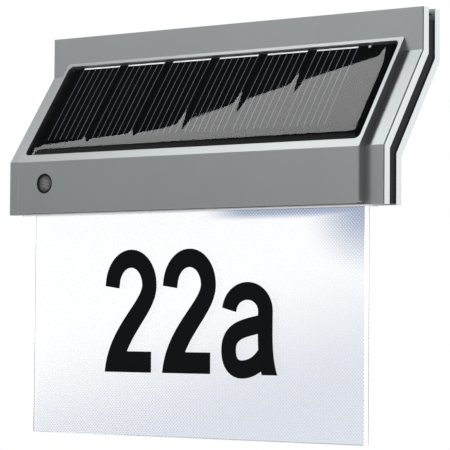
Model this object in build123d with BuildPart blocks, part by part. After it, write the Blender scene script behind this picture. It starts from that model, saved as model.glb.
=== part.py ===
"""Solar house number light: a Z-folded silver housing hung on two wall screws, with a solar hood
on its front and an edge-lit clear number plate hanging from its underside.

Frame: X to the right, Y towards the wall, Z up. Y = 0 is the wall, and Z = 0 is the line of the
two keyhole entries.
"""
from math import atan2, cos, hypot, sin, tan
import os

from build123d import *

os.makedirs("parts", exist_ok=True)

# Housing: three layers of one Z-folded profile
housing_width = 200.0
top_flange_height = 17.8
slope_drop = 41.2
slope_run = 29.6
lower_flange_height = 23.8
front_depth = 4.2
spacer_depth = 5.0
rear_depth = 3.8
wall = 1.8
edge_round = 0.5
end_chamfer = 0.35
joint_clearance = 0.1

# Solar hood raised on the front cover
hood_side_inset = 9.1
hood_front_rise = 4.6
hood_slope_rise = 3.4
hood_corner_radius = 1.4
rim_width = 1.7
lip_width = 4.1
pocket_depth = 2.95
pocket_corner_radius = 2.4
lead_hole_radius = 2.0

# Solar module cast into the pocket
module_clearance = 0.3
module_board_thickness = 1.0
cell_count = 6
cell_gap = 0.7
cell_thickness = 0.25
cell_left_margin = 6.15
cell_right_margin = 18.15
cell_top_margin = 0.5
cell_low_margin = 7.7
busbar_inset = 2.1
busbar_width = 0.8
busbar_thickness = 0.15
resin_height = 1.65
resin_crown = 0.55
resin_edge_round = 0.8

# Spacer frame between the two covers
spacer_setback = 0.5
spacer_top_setback = 5.0
spacer_leg_width = 7.8
spacer_strip_extra = 4.0

# Keyholes in the rear cover
keyhole_spacing = 120.0
keyhole_entry_radius = 4.2
keyhole_slot_width = 4.4
keyhole_drop = 7.0
keyhole_from_top = 13.5
keyhole_room_width = 13.0
keyhole_room_margin = 1.0

# Screws that close the housing
case_screw_radius = 1.0
case_screw_length = 8.0
case_head_radius = 2.3
case_head_height = 1.5
case_head_sink = 0.2
case_screw_clearance = 0.3
case_head_clearance = 0.2
boss_radius = 2.6
boss_sides = 8
screw_pad_width = 6.8
screw_pad_height = 1.6
upper_screw_inset = 12.0
upper_screw_from_top = 9.0
cross_width = 0.7
cross_depth = 0.8
lower_screw_inset = 4.9
lower_screw_height = 10.0

# Number plate and the holder that grips its top edge
plate_side_inset = 2.2
plate_thickness = 4.1
plate_visible_height = 97.0
plate_hidden_height = 13.6
plate_setback = 3.1
plate_edge_chamfer = 0.3
holder_front_wall = 1.8
holder_rear_wall = 1.2
holder_web = 1.2
bezel_thickness = 0.6
bezel_overhang = 0.5
bezel_margin = 0.8
plate_screw_spacing = 120.0
plate_screw_height = 6.0
plate_screw_radius = 1.45
plate_head_radius = 2.5
plate_head_height = 1.6

# Light strip over the plate's top edge
led_count = 8
led_end_margin = 14.0
led_length = 3.5
led_width = 2.8
led_height = 1.3
led_gap = 0.4
led_board_end_gap = 5.0
led_board_thickness = 1.0

# Dusk sensor in the hood's front
sensor_from_side = 15.6
sensor_below_fold = 10.4
sensor_hole_radius = 4.45
sensor_bore_radius = 3.55
sensor_bezel_sink = 0.2
sensor_window_sink = 0.3
sensor_window_thickness = 0.5
sensor_window_gap = 0.1
sensor_radius = 3.3
sensor_flat_width = 5.6

# Control board behind the hood's front
control_board_length = 62.0
control_board_height = 14.4
control_board_thickness = 1.2
control_board_shift = 24.0
control_board_rear_gap = 0.3
control_board_floor_gap = 0.4
peg_spacing = 34.0
peg_radius = 1.6
peg_pin_radius = 0.7
chip_length = 6.0
chip_height = 5.0
chip_thickness = 1.6
coil_width = 5.0
coil_thickness = 2.0
capacitor_length = 3.2
capacitor_height = 2.5
capacitor_thickness = 1.8
component_pitch = 9.0

# Battery compartment on the back
battery_radius = 7.25
battery_body_length = 49.2
battery_tip_length = 1.3
battery_tip_radius = 2.75
battery_clearance = 0.25
battery_lead_radius = 1.8
contact_room = 3.0
contact_thickness = 0.4
contact_size = 10.0
battery_end_block = 7.8
battery_box_corner = 2.0
battery_box_lift = 1.5
door_thickness = 1.8
door_chamfer = 0.5
door_lip_height = 1.5
door_lip_wall = 1.4
door_screw_radius = 1.0
door_screw_length = 8.0
door_head_radius = 2.2
door_head_height = 1.2

# Slide switch on the sloping back
switch_from_side = 34.0
switch_length = 12.0
switch_width = 5.4
switch_height = 3.6
slider_length = 3.6
slider_width = 2.4
slider_foot_length = 4.8
slider_foot_height = 1.0
slider_proud = 1.0
slider_travel = 3.0
slider_clearance = 0.25
slider_chamfer = 0.25
slider_foot_clearance = 0.2

# Places worked out from the sizes above
hood_width = housing_width - 2 * hood_side_inset
plate_width = hood_width - 2 * plate_side_inset
bezel_width = hood_width + 2 * bezel_overhang
total_depth = front_depth + spacer_depth + rear_depth
slope_angle = atan2(slope_run, slope_drop)
fold_shift = tan(slope_angle / 2)
top_z = keyhole_from_top
upper_fold_z = top_z - top_flange_height
lower_fold_z = upper_fold_z - slope_drop
bottom_z = lower_fold_z - lower_flange_height
front_y = -total_depth
lower_y = front_y - slope_run
hood_y = lower_y - hood_front_rise
rear_inner_depth = total_depth - wall


def slope_z(y, rise):
    """Height of the plane that stands a given rise in front of the housing's sloping face, at depth y."""
    return upper_fold_z + (rise + cos(slope_angle) * (y - front_y)) / sin(slope_angle)


def z_line(depth, top=0.0, bottom=0.0):
    """Side view of the folded housing at a depth behind its front face, from top edge to bottom edge."""
    shift = depth * fold_shift
    return [
        (front_y + depth, top_z - top),
        (front_y + depth, upper_fold_z - shift),
        (lower_y + depth, lower_fold_z - shift),
        (lower_y + depth, bottom_z + bottom),
    ]


def z_band(near, far, top=0.0, bottom=0.0):
    """Closed side view of one layer of the housing, between two depths behind its front face."""
    return z_line(near, top, bottom) + z_line(far, top, bottom)[::-1]


# The hood's sloping face: local x to the right, local y up the slope, origin at the middle of the face
hood_top_z = slope_z(front_y, hood_slope_rise)
hood_low_z = slope_z(hood_y, hood_slope_rise)
hood_slope_length = hypot(front_y - hood_y, hood_top_z - hood_low_z)
hood_plane = Plane(
    origin=(0, (front_y + hood_y) / 2, (hood_top_z + hood_low_z) / 2),
    x_dir=(1, 0, 0),
    z_dir=(0, -cos(slope_angle), sin(slope_angle)),
)
pocket_length = hood_width - 2 * rim_width
pocket_height = hood_slope_length - rim_width - lip_width
pocket_centre = (lip_width - rim_width) / 2
lead_hole_x = pocket_length / 4
lead_hole_depth = hood_slope_rise + 2 * wall
module_length = pocket_length - 2 * module_clearance
module_height = pocket_height - 2 * module_clearance
cell_row_length = module_length - cell_left_margin - cell_right_margin
cell_row_shift = (cell_left_margin - cell_right_margin) / 2
cell_pitch = (cell_row_length + cell_gap) / cell_count
cell_width = cell_pitch - cell_gap
cell_height = module_height - cell_top_margin - cell_low_margin
busbar_length = cell_width - 2 * busbar_inset

# Screw places, seen from the front
case_screw_places = []
for side in (-1, 1):
    upper_screw_x = side * (housing_width / 2 - upper_screw_inset)
    lower_screw_x = side * (housing_width / 2 - lower_screw_inset)
    case_screw_places.append((upper_screw_x, front_y, top_z - upper_screw_from_top))
    case_screw_places.append((lower_screw_x, lower_y, bottom_z + lower_screw_height))
boss_end_depth = rear_inner_depth - screw_pad_height
case_seat_depth = total_depth - case_head_sink - case_head_height

# Holder and plate, as depths behind the lower flange's front face
plate_front_y = lower_y + plate_setback
plate_rear_y = plate_front_y + plate_thickness
slot_front_y = plate_front_y - joint_clearance
slot_rear_y = plate_rear_y + joint_clearance
holder_front_y = slot_front_y - holder_front_wall
holder_rear_y = slot_rear_y + holder_rear_wall
holder_width = hood_width - 2 * wall - 2 * joint_clearance
led_board_length = holder_width - 2 * led_board_end_gap
led_pitch = (led_board_length - 2 * led_end_margin) / (led_count - 1)
plate_top_z = bottom_z + plate_hidden_height
led_board_z = plate_top_z + led_gap + led_height
holder_web_z = led_board_z + led_board_thickness
plate_screw_z = bottom_z + plate_screw_height

# Sensor and control board, behind the hood's front face
sensor_x = sensor_from_side - hood_width / 2
sensor_z = lower_fold_z - sensor_below_fold
hood_inner_y = hood_y + wall
control_board_rear_y = holder_front_y - control_board_rear_gap
control_board_y = control_board_rear_y - control_board_thickness
sensor_face_y = hood_y + sensor_window_sink + sensor_window_thickness + sensor_window_gap
control_board_x = sensor_x + control_board_shift
control_board_z = bottom_z + wall + control_board_floor_gap + control_board_height / 2

# Battery compartment behind the lower flange
rear_face_y = lower_y + total_depth
battery_length = battery_body_length + battery_tip_length
battery_room = 2 * (battery_radius + battery_clearance)
battery_room_length = 2 * battery_length + 2 * contact_room
battery_box_length = battery_room_length + 2 * battery_end_block
battery_box_height = battery_room + 2 * wall
battery_box_z = bottom_z + battery_box_lift + battery_box_height / 2
battery_box_end_y = rear_face_y + battery_room
battery_axis_y = rear_face_y + battery_room / 2
door_screw_x = battery_room_length / 2 + battery_end_block / 2

# Switch on the sloping back: local z points out of the back, local y up the slope
rear_upper_fold, rear_lower_fold = z_line(total_depth)[1:3]
switch_x = housing_width / 2 - switch_from_side
switch_y = (rear_upper_fold[0] + rear_lower_fold[0]) / 2
switch_z = (rear_upper_fold[1] + rear_lower_fold[1]) / 2
switch_plane = Plane(
    origin=(switch_x, switch_y, switch_z),
    x_dir=(-1, 0, 0),
    z_dir=(0, cos(slope_angle), -sin(slope_angle)),
)
slider_slot_length = slider_length + slider_travel + 2 * slider_clearance
slider_slot_width = slider_width + 2 * slider_clearance
slider_rest = slider_travel / 2


def facing_wall(x, y, z):
    """Plane at a point, looking from the front towards the wall."""
    return Plane(origin=(x, y, z), x_dir=(1, 0, 0), z_dir=(0, 1, 0))


def front_edges(end):
    """The edges of an end face that lie on the housing's front face: top flange, slope and lower flange."""
    corners = z_line(0)
    middles = [((y0 + y1) / 2, (z0 + z1) / 2) for (y0, z0), (y1, z1) in zip(corners, corners[1:])]
    found = []
    for y, z in middles:
        found.append(min(end.edges(), key=lambda edge: hypot((edge @ 0.5).Y - y, (edge @ 0.5).Z - z)))
    return found


# Front cover: the folded silver shell, open to the back, with the solar hood standing on it
with BuildPart() as front_cover:
    with BuildSketch(Plane.YZ):
        with BuildLine():
            Polyline(
                (front_y, hood_top_z),
                (hood_y, hood_low_z),
                (hood_y, bottom_z),
                (lower_y + edge_round, bottom_z),
                (lower_y + edge_round, lower_fold_z),
                (front_y, upper_fold_z),
                close=True,
            )
        make_face()
    extrude(amount=hood_width / 2, both=True)
    hood_low_edges = front_cover.edges().filter_by(Axis.Y).group_by(Axis.Z)[0]
    fillet(hood_low_edges, radius=hood_corner_radius)
    hood_front = front_cover.faces().sort_by(Axis.Y)[0]
    fillet(hood_front.edges().sort_by(Axis.Z)[:-1], radius=edge_round)
    with BuildSketch(Plane.YZ):
        with BuildLine():
            Polyline(*z_band(0, front_depth), close=True)
        make_face()
    extrude(amount=housing_width / 2, both=True)
    # the front edges of the two ends are broken
    cover_ends = front_cover.faces().sort_by(Axis.X)
    end_fronts = [edge for end in (cover_ends[0], cover_ends[-1]) for edge in front_edges(end)]
    chamfer(end_fronts, length=end_chamfer)
    # hollow behind the folded wall, then the deeper hollow in the hood's front
    with BuildSketch(Plane.YZ):
        with BuildLine():
            Polyline(*z_band(wall, front_depth, wall, wall), close=True)
        make_face()
    extrude(amount=housing_width / 2 - wall, both=True, mode=Mode.SUBTRACT)
    with BuildSketch(Plane.YZ):
        with BuildLine():
            Polyline(
                (hood_inner_y, bottom_z + wall),
                (hood_inner_y, slope_z(hood_inner_y, -wall)),
                z_line(wall)[2],
                z_line(front_depth)[2],
                (lower_y + front_depth, bottom_z + wall),
                close=True,
            )
        make_face()
    extrude(amount=hood_width / 2 - wall, both=True, mode=Mode.SUBTRACT)
    # pocket for the solar module and the hole for its leads
    with BuildSketch(hood_plane):
        with Locations((0, pocket_centre)):
            RectangleRounded(pocket_length, pocket_height, pocket_corner_radius)
    extrude(amount=-pocket_depth, mode=Mode.SUBTRACT)
    with BuildSketch(hood_plane):
        with Locations((lead_hole_x, pocket_centre)):
            Circle(lead_hole_radius)
    extrude(amount=-lead_hole_depth, mode=Mode.SUBTRACT)
    # round hole for the dusk sensor
    with BuildSketch(facing_wall(sensor_x, hood_y, sensor_z)):
        Circle(sensor_hole_radius)
    extrude(amount=wall, mode=Mode.SUBTRACT)
    # slot in the underside that the plate holder passes through
    holder_slot_front = holder_front_y - joint_clearance
    holder_slot_rear = lower_y + front_depth
    with BuildSketch(Plane.XY.offset(bottom_z)):
        with Locations((0, (holder_slot_front + holder_slot_rear) / 2)):
            Rectangle(holder_width + 2 * joint_clearance, holder_slot_rear - holder_slot_front)
    extrude(amount=wall, mode=Mode.SUBTRACT)
    # screw bosses that reach back to the rear cover
    for x, y, z in case_screw_places:
        with BuildSketch(facing_wall(x, y + wall / 2, z)):
            RegularPolygon(boss_radius, boss_sides)
        extrude(amount=boss_end_depth - wall / 2)
        with BuildSketch(facing_wall(x, y + wall, z)):
            Circle(case_screw_radius + joint_clearance)
        extrude(amount=boss_end_depth - wall, mode=Mode.SUBTRACT)
    # pegs that the control board is staked to
    for side in (-1, 1):
        peg_x = control_board_x + side * peg_spacing / 2
        with BuildSketch(facing_wall(peg_x, hood_inner_y - wall / 2, control_board_z)):
            RegularPolygon(peg_radius, boss_sides)
        extrude(amount=control_board_y - hood_inner_y + wall / 2)
        with BuildSketch(facing_wall(peg_x, hood_inner_y, control_board_z)):
            Circle(peg_pin_radius)
        extrude(amount=control_board_rear_y - hood_inner_y)
front_cover.part.label = "front_cover"
export_step(front_cover.part, "parts/front_cover.step")

# Spacer frame: black strip and two legs between the covers, open below for the plate
with BuildPart() as spacer_frame:
    with BuildSketch(Plane.YZ):
        with BuildLine():
            Polyline(
                *z_band(front_depth, front_depth + spacer_depth, spacer_top_setback, spacer_setback),
                close=True,
            )
        make_face()
    extrude(amount=housing_width / 2 - spacer_setback, both=True)
    spacer_open_width = housing_width - 2 * (spacer_setback + spacer_leg_width)
    spacer_open_z = upper_fold_z - total_depth * fold_shift - spacer_strip_extra
    with BuildSketch(Plane.XZ):
        with Locations((0, (spacer_open_z + bottom_z) / 2)):
            Rectangle(spacer_open_width, spacer_open_z - bottom_z)
    extrude(amount=slope_run + total_depth, mode=Mode.SUBTRACT)
    # room for the heads of the two wall screws
    keyhole_room_low = -(keyhole_entry_radius + keyhole_room_margin)
    with BuildSketch(Plane.XZ):
        with Locations((0, (keyhole_room_low + top_z) / 2)):
            with GridLocations(keyhole_spacing, 1, 2, 1):
                Rectangle(keyhole_room_width, top_z - keyhole_room_low)
    extrude(amount=total_depth, mode=Mode.SUBTRACT)
    for x, y, z in case_screw_places:
        with BuildSketch(facing_wall(x, y, z)):
            RegularPolygon(boss_radius + joint_clearance, boss_sides)
        extrude(amount=total_depth, mode=Mode.SUBTRACT)
spacer_frame.part.label = "spacer_frame"
export_step(spacer_frame.part, "parts/spacer_frame.step")

# Rear cover: folded silver shell, open to the front, with keyholes and the battery compartment
with BuildPart() as rear_cover:
    with BuildSketch(Plane.YZ):
        with BuildLine():
            Polyline(*z_band(total_depth - rear_depth, total_depth), close=True)
        make_face()
    extrude(amount=housing_width / 2, both=True)
    with BuildSketch(Plane.YZ):
        with BuildLine():
            Polyline(*z_band(total_depth - rear_depth, rear_inner_depth, wall, wall), close=True)
        make_face()
    extrude(amount=housing_width / 2 - wall, both=True, mode=Mode.SUBTRACT)
    with BuildSketch(facing_wall(0, rear_face_y - wall / 2, battery_box_z)):
        RectangleRounded(battery_box_length, battery_box_height, battery_box_corner)
    extrude(amount=battery_room + wall / 2)
    with BuildSketch(facing_wall(0, rear_face_y, battery_box_z)):
        Rectangle(battery_room_length, battery_room)
    extrude(amount=battery_room, mode=Mode.SUBTRACT)
    # pilot holes for the door's screws, and the hole for the battery leads
    for side in (-1, 1):
        with BuildSketch(facing_wall(side * door_screw_x, battery_box_end_y, battery_box_z)):
            Circle(door_screw_radius + joint_clearance)
        extrude(amount=-door_screw_length, mode=Mode.SUBTRACT)
    with BuildSketch(facing_wall(battery_room_length / 2 - lead_hole_radius, rear_face_y, battery_box_z)):
        Circle(battery_lead_radius)
    extrude(amount=-wall, mode=Mode.SUBTRACT)
    # keyholes: a round entry with a narrow slot above it
    for side in (-1, 1):
        with BuildSketch(facing_wall(side * keyhole_spacing / 2, 0, 0)):
            Circle(keyhole_entry_radius)
        extrude(amount=-wall, mode=Mode.SUBTRACT)
        with BuildSketch(Plane.XZ):
            with Locations((side * keyhole_spacing / 2, keyhole_drop / 2)):
                SlotCenterToCenter(keyhole_drop, keyhole_slot_width, rotation=90)
        extrude(amount=wall, mode=Mode.SUBTRACT)
    # sunk seats for the screws that close the housing
    for x, y, z in case_screw_places:
        with BuildSketch(facing_wall(x, y + boss_end_depth, z)):
            Rectangle(screw_pad_width, screw_pad_width)
        extrude(amount=screw_pad_height + wall / 2)
        with BuildSketch(facing_wall(x, y + boss_end_depth, z)):
            Circle(case_screw_radius + case_screw_clearance)
        extrude(amount=screw_pad_height + wall, mode=Mode.SUBTRACT)
        with BuildSketch(facing_wall(x, y + case_seat_depth, z)):
            Circle(case_head_radius + case_head_clearance)
        extrude(amount=total_depth - case_seat_depth, mode=Mode.SUBTRACT)
    # slot for the switch's slider
    with BuildSketch(switch_plane):
        Rectangle(slider_slot_length, slider_slot_width)
    extrude(amount=-wall, mode=Mode.SUBTRACT)
rear_cover.part.label = "rear_cover"
export_step(rear_cover.part, "parts/rear_cover.step")

# Solar module: backing board, six cells in a row, their busbars, and the clear resin cast over them
module_floor = hood_plane.offset(-pocket_depth)
with BuildPart() as solar_board:
    with BuildSketch(module_floor):
        with Locations((0, pocket_centre)):
            RectangleRounded(module_length, module_height, pocket_corner_radius - module_clearance)
    extrude(amount=module_board_thickness)
solar_board.part.label = "solar_board"
export_step(solar_board.part, "parts/solar_board.step")

cell_plane = module_floor.offset(module_board_thickness)
cell_top = pocket_centre + module_height / 2 - cell_top_margin
with BuildPart() as solar_cells:
    with BuildSketch(cell_plane):
        with Locations((cell_row_shift, cell_top - cell_height / 2)):
            with GridLocations(cell_pitch, 1, cell_count, 1):
                Rectangle(cell_width, cell_height)
    extrude(amount=cell_thickness)
solar_cells.part.label = "solar_cells"
export_step(solar_cells.part, "parts/solar_cells.step")

with BuildPart() as cell_busbars:
    with BuildSketch(cell_plane.offset(cell_thickness)):
        with Locations((cell_row_shift, cell_top - busbar_width / 2)):
            with GridLocations(cell_pitch, 1, cell_count, 1):
                Rectangle(busbar_length, busbar_width)
    extrude(amount=busbar_thickness)
cell_busbars.part.label = "cell_busbars"
export_step(cell_busbars.part, "parts/cell_busbars.step")

# The resin is crowned across its height, and its underside takes the cells
resin_section = Plane(cell_plane.origin, x_dir=cell_plane.y_dir, z_dir=cell_plane.x_dir)
with BuildPart() as solar_resin:
    with BuildSketch(resin_section):
        with BuildLine():
            resin_low = pocket_centre - module_height / 2
            resin_high = pocket_centre + module_height / 2
            side_height = resin_height - resin_crown
            low_shoulder = (resin_low, side_height)
            high_shoulder = (resin_high, side_height)
            Polyline(low_shoulder, (resin_low, 0), (resin_high, 0), high_shoulder)
            ThreePointArc(low_shoulder, (pocket_centre, resin_height), high_shoulder)
        make_face()
    extrude(amount=module_length / 2, both=True)
    resin_corners = solar_resin.edges().filter_by(Axis(cell_plane.origin, cell_plane.z_dir))
    fillet(resin_corners, radius=pocket_corner_radius - module_clearance)
    resin_top = solar_resin.faces().filter_by(GeomType.CYLINDER).sort_by(SortBy.AREA)[-1]
    fillet(resin_top.edges(), radius=resin_edge_round)
    add(solar_cells.part, mode=Mode.SUBTRACT)
    add(cell_busbars.part, mode=Mode.SUBTRACT)
solar_resin.part.label = "solar_resin"
export_step(solar_resin.part, "parts/solar_resin.step")

# Plate holder: a channel that grips the plate's top edge, with a thin bezel under the housing
with BuildPart() as plate_holder:
    with BuildSketch(Plane.YZ):
        with BuildLine():
            Polyline(
                (holder_front_y, bottom_z),
                (holder_front_y, holder_web_z + holder_web),
                (holder_rear_y, holder_web_z + holder_web),
                (holder_rear_y, bottom_z),
                (slot_rear_y, bottom_z),
                (slot_rear_y, holder_web_z),
                (slot_front_y, holder_web_z),
                (slot_front_y, bottom_z),
                close=True,
            )
        make_face()
    extrude(amount=holder_width / 2, both=True)
    with BuildSketch(Plane.XY.offset(bottom_z)):
        with Locations((0, (holder_front_y + holder_rear_y) / 2)):
            Rectangle(bezel_width, holder_rear_y - holder_front_y + 2 * bezel_margin)
        with Locations((0, (slot_front_y + slot_rear_y) / 2)):
            Rectangle(plate_width + 2 * joint_clearance, slot_rear_y - slot_front_y, mode=Mode.SUBTRACT)
    extrude(amount=-bezel_thickness)
    for side in (-1, 1):
        with BuildSketch(facing_wall(side * plate_screw_spacing / 2, holder_front_y, plate_screw_z)):
            Circle(plate_screw_radius + joint_clearance)
        extrude(amount=holder_rear_y - holder_front_y, mode=Mode.SUBTRACT)
plate_holder.part.label = "plate_holder"
export_step(plate_holder.part, "parts/plate_holder.step")

# Number plate: clear slab with broken edges and two holes for its screws
plate_height = plate_hidden_height + plate_visible_height
with BuildPart() as number_plate:
    with BuildSketch(facing_wall(0, plate_front_y, plate_top_z - plate_height / 2)):
        Rectangle(plate_width, plate_height)
    extrude(amount=plate_thickness)
    plate_faces = number_plate.faces().filter_by(Axis.Y)
    chamfer(plate_faces.edges(), length=plate_edge_chamfer)
    for side in (-1, 1):
        with BuildSketch(facing_wall(side * plate_screw_spacing / 2, plate_front_y, plate_screw_z)):
            Circle(plate_screw_radius + joint_clearance)
        extrude(amount=plate_thickness, mode=Mode.SUBTRACT)
number_plate.part.label = "number_plate"
export_step(number_plate.part, "parts/number_plate.step")

with BuildPart() as plate_screws:
    for side in (-1, 1):
        with BuildSketch(facing_wall(side * plate_screw_spacing / 2, holder_front_y, plate_screw_z)):
            Circle(plate_screw_radius)
        extrude(amount=holder_rear_y - holder_front_y)
        with BuildSketch(facing_wall(side * plate_screw_spacing / 2, holder_rear_y, plate_screw_z)):
            Circle(plate_head_radius)
        extrude(amount=plate_head_height)
plate_screws.part.label = "plate_screws"
export_step(plate_screws.part, "parts/plate_screws.step")

# Light strip: narrow board under the holder's web, with its lamps facing the plate's top edge
led_centre_y = (slot_front_y + slot_rear_y) / 2
with BuildPart() as led_board:
    with BuildSketch(Plane.XY.offset(led_board_z)):
        with Locations((0, led_centre_y)):
            Rectangle(led_board_length, plate_thickness)
    extrude(amount=led_board_thickness)
led_board.part.label = "led_board"
export_step(led_board.part, "parts/led_board.step")

with BuildPart() as leds:
    with BuildSketch(Plane.XY.offset(led_board_z - led_height)):
        with Locations((0, led_centre_y)):
            with GridLocations(led_pitch, 1, led_count, 1):
                Rectangle(led_length, led_width)
    extrude(amount=led_height)
leds.part.label = "leds"
export_step(leds.part, "parts/leds.step")

# Dusk sensor: black bezel ring, clear window and the photoresistor behind it
with BuildPart() as sensor_bezel:
    with BuildSketch(facing_wall(sensor_x, hood_y + sensor_bezel_sink, sensor_z)):
        Circle(sensor_hole_radius)
        Circle(sensor_bore_radius, mode=Mode.SUBTRACT)
    extrude(amount=wall - sensor_bezel_sink)
sensor_bezel.part.label = "sensor_bezel"
export_step(sensor_bezel.part, "parts/sensor_bezel.step")

with BuildPart() as sensor_window:
    with BuildSketch(facing_wall(sensor_x, hood_y + sensor_window_sink, sensor_z)):
        Circle(sensor_bore_radius)
    extrude(amount=sensor_window_thickness)
sensor_window.part.label = "sensor_window"
export_step(sensor_window.part, "parts/sensor_window.step")

with BuildPart() as light_sensor:
    with BuildSketch(facing_wall(sensor_x, control_board_y, sensor_z)):
        Circle(sensor_radius)
        Rectangle(2 * sensor_radius, sensor_flat_width, mode=Mode.INTERSECT)
    extrude(amount=sensor_face_y - control_board_y)
light_sensor.part.label = "light_sensor"
export_step(light_sensor.part, "parts/light_sensor.step")

# Control board, staked on the hood's pegs
with BuildPart() as control_board:
    with BuildSketch(facing_wall(control_board_x, control_board_y, control_board_z)):
        Rectangle(control_board_length, control_board_height)
        with GridLocations(peg_spacing, 1, 2, 1):
            Circle(peg_pin_radius + joint_clearance, mode=Mode.SUBTRACT)
    extrude(amount=control_board_thickness)
control_board.part.label = "control_board"
export_step(control_board.part, "parts/control_board.step")

component_plane = facing_wall(control_board_x, control_board_y, control_board_z)
with BuildPart() as board_components:
    with BuildSketch(component_plane):
        with Locations((-component_pitch, 0)):
            Rectangle(chip_length, chip_height)
    extrude(amount=-chip_thickness)
    with BuildSketch(component_plane):
        Rectangle(coil_width, coil_width)
    extrude(amount=-coil_thickness)
    with BuildSketch(component_plane):
        with Locations((component_pitch, 0)):
            Rectangle(capacitor_length, capacitor_height)
    extrude(amount=-capacitor_thickness)
board_components.part.label = "board_components"
export_step(board_components.part, "parts/board_components.step")

# Two round cells end to end along X, each with its tip towards the right
for number in (1, 2):
    start_x = -battery_length + (number - 1) * battery_length
    cell_end = Plane((start_x, battery_axis_y, battery_box_z), x_dir=(0, 0, 1), z_dir=(1, 0, 0))
    with BuildPart() as battery_cell:
        with BuildSketch(cell_end):
            Circle(battery_radius)
        extrude(amount=battery_body_length)
        with BuildSketch(cell_end):
            Circle(battery_tip_radius)
        extrude(amount=battery_length)
    battery_cell.part.label = f"battery_cell_{number}"
    export_step(battery_cell.part, f"parts/battery_cell_{number}.step")

# Contacts: a plate with a tongue at the tip end and a bent leaf at the other
contact_plane = Plane.XY.offset(battery_box_z - contact_size / 2)
room_half = battery_room_length / 2
with BuildPart() as contact_plate:
    with BuildSketch(contact_plane):
        with Locations((room_half - contact_thickness / 2, battery_axis_y)):
            Rectangle(contact_thickness, contact_size)
        with Locations(((room_half + battery_length) / 2, battery_axis_y)):
            Rectangle(contact_room, contact_thickness)
    extrude(amount=contact_size)
contact_plate.part.label = "contact_plate"
export_step(contact_plate.part, "parts/contact_plate.step")

with BuildPart() as contact_leaf:
    with BuildSketch(contact_plane):
        with BuildLine():
            leaf_back = -room_half + contact_thickness / 2
            Polyline(
                (leaf_back, battery_axis_y + contact_size / 2),
                (leaf_back, battery_axis_y - contact_size / 2),
                (-battery_length - contact_thickness, battery_axis_y),
                (leaf_back + contact_thickness, battery_axis_y + contact_size / 2 - contact_thickness),
            )
        trace(line_width=contact_thickness)
    extrude(amount=contact_size)
contact_leaf.part.label = "contact_leaf"
export_step(contact_leaf.part, "parts/contact_leaf.step")

# Battery door: plate over the compartment with a locating lip and two screw holes
with BuildPart() as battery_door:
    with BuildSketch(facing_wall(0, battery_box_end_y, battery_box_z)):
        RectangleRounded(battery_box_length, battery_box_height, battery_box_corner)
    extrude(amount=door_thickness)
    door_rim = battery_door.faces().sort_by(Axis.Y)[-1]
    chamfer(door_rim.edges(), length=door_chamfer)
    for side in (-1, 1):
        with Locations(facing_wall(side * door_screw_x, battery_box_end_y + door_thickness, battery_box_z)):
            CounterSinkHole(door_screw_radius + joint_clearance, door_head_radius + joint_clearance)
    with BuildSketch(facing_wall(0, battery_box_end_y, battery_box_z)):
        with GridLocations(1, battery_room - door_lip_wall - 2 * joint_clearance, 1, 2):
            Rectangle(battery_room_length - 2 * door_lip_wall, door_lip_wall)
    extrude(amount=-door_lip_height)
battery_door.part.label = "battery_door"
export_step(battery_door.part, "parts/battery_door.step")

# Countersunk screws of the battery door
with BuildPart() as door_screws:
    for side in (-1, 1):
        head_plane = Plane((side * door_screw_x, battery_box_end_y + door_thickness, battery_box_z))
        with BuildSketch(head_plane):
            with BuildLine():
                Polyline(
                    (0, 0),
                    (door_head_radius, 0),
                    (door_screw_radius, -door_head_height),
                    (door_screw_radius, -door_screw_length),
                    (0, -door_screw_length),
                    close=True,
                )
            make_face()
        revolve(axis=Axis(head_plane.origin, (0, 1, 0)))
        with BuildSketch(facing_wall(*head_plane.origin)):
            Rectangle(door_head_radius, cross_width)
            Rectangle(cross_width, door_head_radius)
        extrude(amount=-cross_depth, mode=Mode.SUBTRACT)
door_screws.part.label = "door_screws"
export_step(door_screws.part, "parts/door_screws.step")

# Screws that close the housing, with their heads sunk in the rear cover
with BuildPart() as case_screws:
    for x, y, z in case_screw_places:
        with BuildSketch(facing_wall(x, y + case_seat_depth, z)):
            Circle(case_screw_radius)
        extrude(amount=-case_screw_length)
        with BuildSketch(facing_wall(x, y + case_seat_depth, z)):
            Circle(case_head_radius)
        extrude(amount=case_head_height)
        with BuildSketch(facing_wall(x, y + case_seat_depth + case_head_height, z)):
            Rectangle(case_head_radius, cross_width)
            Rectangle(cross_width, case_head_radius)
        extrude(amount=-cross_depth, mode=Mode.SUBTRACT)
case_screws.part.label = "case_screws"
export_step(case_screws.part, "parts/case_screws.step")

# Slide switch: body behind the sloping back, and the slider that stands out of its slot
with BuildPart() as switch_body:
    with BuildSketch(switch_plane.offset(-wall)):
        Rectangle(switch_length, switch_width)
    extrude(amount=-switch_height)
    with BuildSketch(switch_plane.offset(-wall)):
        Rectangle(slider_foot_length + slider_travel + 2 * slider_clearance, slider_slot_width)
    extrude(amount=-(slider_foot_height + slider_foot_clearance), mode=Mode.SUBTRACT)
switch_body.part.label = "switch_body"
export_step(switch_body.part, "parts/switch_body.step")

with BuildPart() as switch_slider:
    with BuildSketch(switch_plane.offset(-wall - joint_clearance)):
        with Locations((slider_rest, 0)):
            Rectangle(slider_foot_length, slider_width)
    extrude(amount=-slider_foot_height)
    with BuildSketch(switch_plane.offset(-wall - joint_clearance)):
        with Locations((slider_rest, 0)):
            Rectangle(slider_length, slider_width)
    extrude(amount=wall + joint_clearance + slider_proud)
    slider_tip = switch_slider.faces().sort_by(Axis(switch_plane.origin, switch_plane.z_dir))[-1]
    chamfer(slider_tip.edges(), length=slider_chamfer)
switch_slider.part.label = "switch_slider"
export_step(switch_slider.part, "parts/switch_slider.step")
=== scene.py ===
"""Looks of the solar house number light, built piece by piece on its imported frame, in metres."""
from math import atan2, cos, pi, radians, sin

import bmesh
import bpy
import numpy as np
from mathutils import Matrix, Vector


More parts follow.
